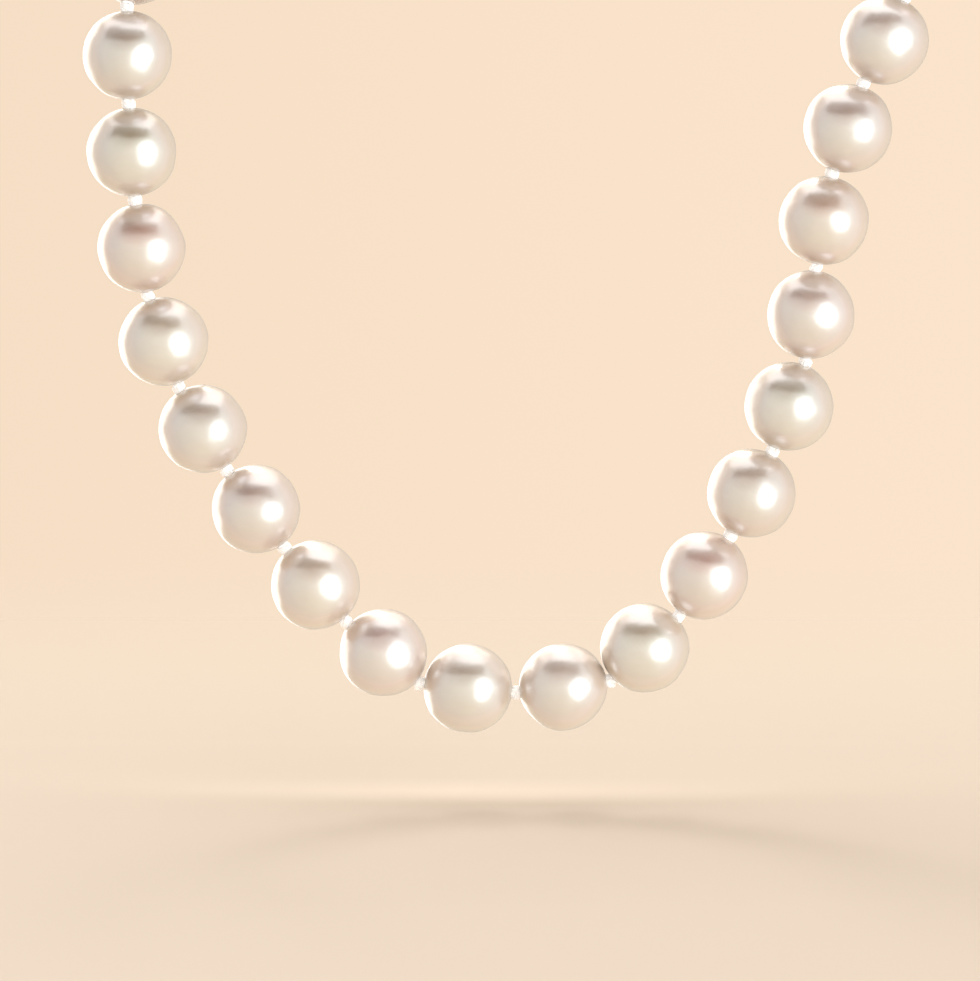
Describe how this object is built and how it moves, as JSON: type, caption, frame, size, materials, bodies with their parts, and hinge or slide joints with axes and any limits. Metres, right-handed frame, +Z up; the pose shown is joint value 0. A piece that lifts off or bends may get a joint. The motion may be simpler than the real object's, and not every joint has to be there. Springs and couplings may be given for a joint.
{
  "type": "pearl necklace",
  "caption": "Single strand of knotted round white pearls, hanging as worn, closed at the nape by a sprung lobster-claw clasp.",
  "frame": {"origin": "middle of the clasp, on the line of the strand at the nape of the neck", "axes": "+Z up, +X towards the right-hand strand as seen from the front, -Y towards the front of the necklace"},
  "size_m": [0.1048, 0.1024, 0.1235],
  "materials": {
    "nacre": "high-lustre white nacre with a rose overtone",
    "silk": "twisted white silk thread",
    "gimp_wire": "fine coiled gilt wire",
    "gold": "polished yellow gold",
    "spring_steel": "bright drawn spring wire"
  },
  "bodies": {
    "clasp": {"silk_loop_left": "silk", "gimp_left": "gimp_wire", "jump_ring": "gold", "clasp_body": "gold", "clasp_rivet": "gold", "clasp_spring": "spring_steel", "eye_ring": "gold", "gimp_right": "gimp_wire", "silk_loop_right": "silk"},
    "clasp_lever": {"clasp_lever": "gold"},
    "pearl_left_01": {"pearl_left_01": "nacre", "bottom_knot": "silk"},
    "pearl_left_02": {"pearl_left_02": "nacre"},
    "pearl_left_03": {"pearl_left_03": "nacre"},
    "pearl_left_04": {"pearl_left_04": "nacre"},
    "pearl_left_05": {"pearl_left_05": "nacre"},
    "pearl_left_06": {"pearl_left_06": "nacre"},
    "pearl_left_07": {"pearl_left_07": "nacre"},
    "pearl_left_08": {"pearl_left_08": "nacre"},
    "pearl_left_09": {"pearl_left_09": "nacre"},
    "pearl_left_10": {"pearl_left_10": "nacre"},
    "pearl_left_11": {"pearl_left_11": "nacre"},
    "pearl_left_12": {"pearl_left_12": "nacre"},
    "pearl_left_13": {"pearl_left_13": "nacre"},
    "pearl_left_14": {"pearl_left_14": "nacre"},
    "pearl_left_15": {"pearl_left_15": "nacre"},
    "pearl_left_16": {"pearl_left_16": "nacre"},
    "pearl_left_17": {"pearl_left_17": "nacre"},
    "pearl_left_18": {"pearl_left_18": "nacre"},
    "pearl_left_19": {"pearl_left_19": "nacre"},
    "pearl_left_20": {"pearl_left_20": "nacre"},
    "pearl_left_21": {"pearl_left_21": "nacre"},
    "pearl_left_22": {"pearl_left_22": "nacre"},
    "pearl_right_01": {"pearl_right_01": "nacre"},
    "pearl_right_02": {"pearl_right_02": "nacre"},
    "pearl_right_03": {"pearl_right_03": "nacre"},
    "pearl_right_04": {"pearl_right_04": "nacre"},
    "pearl_right_05": {"pearl_right_05": "nacre"},
    "pearl_right_06": {"pearl_right_06": "nacre"},
    "pearl_right_07": {"pearl_right_07": "nacre"},
    "pearl_right_08": {"pearl_right_08": "nacre"},
    "pearl_right_09": {"pearl_right_09": "nacre"},
    "pearl_right_10": {"pearl_right_10": "nacre"},
    "pearl_right_11": {"pearl_right_11": "nacre"},
    "pearl_right_12": {"pearl_right_12": "nacre"},
    "pearl_right_13": {"pearl_right_13": "nacre"},
    "pearl_right_14": {"pearl_right_14": "nacre"},
    "pearl_right_15": {"pearl_right_15": "nacre"},
    "pearl_right_16": {"pearl_right_16": "nacre"},
    "pearl_right_17": {"pearl_right_17": "nacre"},
    "pearl_right_18": {"pearl_right_18": "nacre"},
    "pearl_right_19": {"pearl_right_19": "nacre"},
    "pearl_right_20": {"pearl_right_20": "nacre"},
    "pearl_right_21": {"pearl_right_21": "nacre"},
    "pearl_right_22": {"pearl_right_22": "nacre"}
  },
  "joints": [
    {"name": "knot_left_22", "type": "hinge", "parent": "clasp", "child": "pearl_left_22", "pos_m": [-0.01299, -0.0001, -0.00002], "axis": [-1, -0.0073, -0.0016], "range_deg": [0, 6]},
    {"name": "knot_right_22", "type": "hinge", "parent": "clasp", "child": "pearl_right_22", "pos_m": [0.01299, 0.0001, 0.00002], "axis": [-1, -0.0073, -0.0016], "range_deg": [0, 6]},
    {"name": "knot_left_21", "type": "hinge", "parent": "pearl_left_22", "child": "pearl_left_21", "pos_m": [-0.02219, -0.00344, -0.00079], "axis": [-1, -0.0043, -0.001], "range_deg": [0, 6]},
    {"name": "knot_right_21", "type": "hinge", "parent": "pearl_right_22", "child": "pearl_right_21", "pos_m": [0.02204, -0.00325, -0.00074], "axis": [-1, -0.0043, -0.001], "range_deg": [0, 6]},
    {"name": "knot_left_20", "type": "hinge", "parent": "pearl_left_21", "child": "pearl_left_20", "pos_m": [-0.03055, -0.00844, -0.00197], "axis": [-1, -0.0009, -0.0002], "range_deg": [0, 6]},
    {"name": "knot_right_20", "type": "hinge", "parent": "pearl_right_21", "child": "pearl_right_20", "pos_m": [0.03015, -0.00839, -0.00196], "axis": [-1, -0.0009, -0.0002], "range_deg": [0, 6]},
    {"name": "knot_left_19", "type": "hinge", "parent": "pearl_left_20", "child": "pearl_left_19", "pos_m": [-0.03786, -0.01483, -0.00349], "axis": [-1, 0.0033, 0.0007], "range_deg": [0, 6]},
    {"name": "knot_right_19", "type": "hinge", "parent": "pearl_right_20", "child": "pearl_right_19", "pos_m": [0.03697, -0.01507, -0.00355], "axis": [-1, 0.0033, 0.0007], "range_deg": [0, 6]},
    {"name": "knot_left_18", "type": "hinge", "parent": "pearl_left_19", "child": "pearl_left_18", "pos_m": [-0.04355, -0.02262, -0.00532], "axis": [-1, 0.0053, 0.0012], "range_deg": [0, 6]},
    {"name": "knot_right_18", "type": "hinge", "parent": "pearl_right_19", "child": "pearl_right_18", "pos_m": [0.04208, -0.02307, -0.00543], "axis": [-1, 0.0053, 0.0012], "range_deg": [0, 6]},
    {"name": "knot_left_17", "type": "hinge", "parent": "pearl_left_18", "child": "pearl_left_17", "pos_m": [-0.04694, -0.0316, -0.0074], "axis": [-1, 0.0044, 0.0011], "range_deg": [0, 6]},
    {"name": "knot_right_17", "type": "hinge", "parent": "pearl_right_18", "child": "pearl_right_17", "pos_m": [0.04521, -0.032, -0.0075], "axis": [-1, 0.0044, 0.0011], "range_deg": [0, 6]},
    {"name": "knot_left_16", "type": "hinge", "parent": "pearl_left_17", "child": "pearl_left_16", "pos_m": [-0.04837, -0.04104, -0.00968], "axis": [-1, 0.0026, 0.0006], "range_deg": [0, 6]},
    {"name": "knot_right_16", "type": "hinge", "parent": "pearl_right_17", "child": "pearl_right_16", "pos_m": [0.04677, -0.04128, -0.00974], "axis": [-1, 0.0026, 0.0006], "range_deg": [0, 6]},
    {"name": "knot_left_15", "type": "hinge", "parent": "pearl_left_16", "child": "pearl_left_15", "pos_m": [-0.0483, -0.05052, -0.01224], "axis": [-1, 0.001, 0.0002], "range_deg": [0, 6]},
    {"name": "knot_right_15", "type": "hinge", "parent": "pearl_right_16", "child": "pearl_right_15", "pos_m": [0.04732, -0.05062, -0.01225], "axis": [-1, 0.001, 0.0002], "range_deg": [0, 6]},
    {"name": "knot_left_14", "type": "hinge", "parent": "pearl_left_15", "child": "pearl_left_14", "pos_m": [-0.04685, -0.05974, -0.01529], "axis": [-1, 0.0006, 0.0003], "range_deg": [0, 6]},
    {"name": "knot_right_14", "type": "hinge", "parent": "pearl_right_15", "child": "pearl_right_14", "pos_m": [0.04734, -0.0598, -0.01532], "axis": [-1, 0.0006, 0.0003], "range_deg": [0, 6]},
    {"name": "knot_left_13", "type": "hinge", "parent": "pearl_left_14", "child": "pearl_left_13", "pos_m": [-0.04442, -0.0685, -0.019], "axis": [-1, 0.0021, 0.0013], "range_deg": [0, 6]},
    {"name": "knot_right_13", "type": "hinge", "parent": "pearl_right_14", "child": "pearl_right_13", "pos_m": [0.04699, -0.06869, -0.01913], "axis": [-1, 0.0021, 0.0013], "range_deg": [0, 6]},
    {"name": "knot_left_12", "type": "hinge", "parent": "pearl_left_13", "child": "pearl_left_12", "pos_m": [-0.04186, -0.07682, -0.02355], "axis": [-1, 0.0038, 0.0016], "range_deg": [0, 6]},
    {"name": "knot_right_12", "type": "hinge", "parent": "pearl_right_13", "child": "pearl_right_12", "pos_m": [0.04587, -0.07715, -0.02369], "axis": [-1, 0.0038, 0.0016], "range_deg": [0, 6]},
    {"name": "knot_left_11", "type": "hinge", "parent": "pearl_left_12", "child": "pearl_left_11", "pos_m": [-0.03971, -0.08464, -0.02909], "axis": [-1, 0.0039, 0.0007], "range_deg": [0, 6]},
    {"name": "knot_right_11", "type": "hinge", "parent": "pearl_right_12", "child": "pearl_right_11", "pos_m": [0.04416, -0.08496, -0.02915], "axis": [-1, 0.0039, 0.0007], "range_deg": [0, 6]},
    {"name": "knot_left_10", "type": "hinge", "parent": "pearl_left_11", "child": "pearl_left_10", "pos_m": [-0.03883, -0.09137, -0.03619], "axis": [-1, 0.0008, -0.0023], "range_deg": [0, 6]},
    {"name": "knot_right_10", "type": "hinge", "parent": "pearl_right_11", "child": "pearl_right_10", "pos_m": [0.04195, -0.09143, -0.036], "axis": [-1, 0.0008, -0.0023], "range_deg": [0, 6]},
    {"name": "knot_left_09", "type": "hinge", "parent": "pearl_left_10", "child": "pearl_left_09", "pos_m": [-0.04061, -0.09439, -0.04536], "axis": [-0.9999, -0.0002, -0.0124], "range_deg": [-20, 20]},
    {"name": "knot_right_09", "type": "hinge", "parent": "pearl_right_10", "child": "pearl_right_09", "pos_m": [0.0381, -0.09437, -0.04438], "axis": [-0.9999, -0.0002, -0.0124], "range_deg": [-20, 20]},
    {"name": "knot_left_08", "type": "hinge", "parent": "pearl_left_09", "child": "pearl_left_08", "pos_m": [-0.04045, -0.09491, -0.05517], "axis": [-0.9996, 0, -0.0278], "range_deg": [-20, 20]},
    {"name": "knot_right_08", "type": "hinge", "parent": "pearl_right_09", "child": "pearl_right_08", "pos_m": [0.03392, -0.09491, -0.0531], "axis": [-0.9996, 0, -0.0278], "range_deg": [-20, 20]},
    {"name": "knot_left_07", "type": "hinge", "parent": "pearl_left_08", "child": "pearl_left_07", "pos_m": [-0.03985, -0.09491, -0.06497], "axis": [-0.9993, 0, -0.0385], "range_deg": [-20, 20]},
    {"name": "knot_right_07", "type": "hinge", "parent": "pearl_right_08", "child": "pearl_right_07", "pos_m": [0.03077, -0.09492, -0.06225], "axis": [-0.9993, 0, -0.0385], "range_deg": [-20, 20]},
    {"name": "knot_left_06", "type": "hinge", "parent": "pearl_left_07", "child": "pearl_left_06", "pos_m": [-0.03856, -0.09491, -0.0747], "axis": [-0.9991, 0, -0.0428], "range_deg": [-20, 20]},
    {"name": "knot_right_06", "type": "hinge", "parent": "pearl_right_07", "child": "pearl_right_06", "pos_m": [0.02919, -0.09491, -0.0718], "axis": [-0.9991, 0, -0.0428], "range_deg": [-20, 20]},
    {"name": "knot_left_05", "type": "hinge", "parent": "pearl_left_06", "child": "pearl_left_05", "pos_m": [-0.03546, -0.09491, -0.08402], "axis": [-0.9992, 0, -0.0409], "range_deg": [-20, 20]},
    {"name": "knot_right_05", "type": "hinge", "parent": "pearl_right_06", "child": "pearl_right_05", "pos_m": [0.02814, -0.09491, -0.08142], "axis": [-0.9992, 0, -0.0409], "range_deg": [-20, 20]},
    {"name": "knot_left_04", "type": "hinge", "parent": "pearl_left_05", "child": "pearl_left_04", "pos_m": [-0.03059, -0.09491, -0.09255], "axis": [-0.9993, 0, -0.0366], "range_deg": [-20, 20]},
    {"name": "knot_right_04", "type": "hinge", "parent": "pearl_right_05", "child": "pearl_right_04", "pos_m": [0.02482, -0.09491, -0.09052], "axis": [-0.9993, 0, -0.0366], "range_deg": [-20, 20]},
    {"name": "knot_left_03", "type": "hinge", "parent": "pearl_left_04", "child": "pearl_left_03", "pos_m": [-0.02476, -0.09491, -0.10045], "axis": [-0.9996, 0, -0.0275], "range_deg": [-20, 20]},
    {"name": "knot_right_03", "type": "hinge", "parent": "pearl_right_04", "child": "pearl_right_03", "pos_m": [0.02055, -0.09491, -0.0992], "axis": [-0.9996, 0, -0.0275], "range_deg": [-20, 20]},
    {"name": "knot_left_02", "type": "hinge", "parent": "pearl_left_03", "child": "pearl_left_02", "pos_m": [-0.0185, -0.09491, -0.10801], "axis": [-0.9998, 0, -0.0192], "range_deg": [-20, 20]},
    {"name": "knot_right_02", "type": "hinge", "parent": "pearl_right_03", "child": "pearl_right_02", "pos_m": [0.01534, -0.09491, -0.10736], "axis": [-0.9998, 0, -0.0192], "range_deg": [-20, 20]},
    {"name": "knot_left_01", "type": "hinge", "parent": "pearl_left_02", "child": "pearl_left_01", "pos_m": [-0.01102, -0.09491, -0.11438], "axis": [-0.9999, 0, -0.016], "range_deg": [-20, 20]},
    {"name": "knot_right_01", "type": "hinge", "parent": "pearl_right_02", "child": "pearl_right_01", "pos_m": [0.00836, -0.09491, -0.11407], "axis": [-0.9999, 0, -0.016], "range_deg": [-20, 20]},
    {"name": "clasp_lever_hinge", "type": "hinge", "parent": "clasp", "child": "clasp_lever", "pos_m": [-0.00122, -0.00001, -0.00175], "axis": [0.0073, -1, 0], "range_deg": [0, 26], "stiffness_Nm_per_rad": 0.004, "springref_deg": -28.65}
  ],
  "couplings": [
    {"joint": "knot_right_22", "follows": "knot_left_22", "ratio": 1},
    {"joint": "knot_right_21", "follows": "knot_left_21", "ratio": 1},
    {"joint": "knot_right_20", "follows": "knot_left_20", "ratio": 1},
    {"joint": "knot_right_19", "follows": "knot_left_19", "ratio": 1},
    {"joint": "knot_right_18", "follows": "knot_left_18", "ratio": 1},
    {"joint": "knot_right_17", "follows": "knot_left_17", "ratio": 1},
    {"joint": "knot_right_16", "follows": "knot_left_16", "ratio": 1},
    {"joint": "knot_right_15", "follows": "knot_left_15", "ratio": 1},
    {"joint": "knot_right_14", "follows": "knot_left_14", "ratio": 1},
    {"joint": "knot_right_13", "follows": "knot_left_13", "ratio": 1},
    {"joint": "knot_right_12", "follows": "knot_left_12", "ratio": 1},
    {"joint": "knot_right_11", "follows": "knot_left_11", "ratio": 1},
    {"joint": "knot_right_10", "follows": "knot_left_10", "ratio": 1},
    {"joint": "knot_right_09", "follows": "knot_left_09", "ratio": 1},
    {"joint": "knot_right_08", "follows": "knot_left_08", "ratio": 1},
    {"joint": "knot_right_07", "follows": "knot_left_07", "ratio": 1},
    {"joint": "knot_right_06", "follows": "knot_left_06", "ratio": 1},
    {"joint": "knot_right_05", "follows": "knot_left_05", "ratio": 1},
    {"joint": "knot_right_04", "follows": "knot_left_04", "ratio": 1},
    {"joint": "knot_right_03", "follows": "knot_left_03", "ratio": 1},
    {"joint": "knot_right_02", "follows": "knot_left_02", "ratio": 1},
    {"joint": "knot_right_01", "follows": "knot_left_01", "ratio": 1}
  ]
}
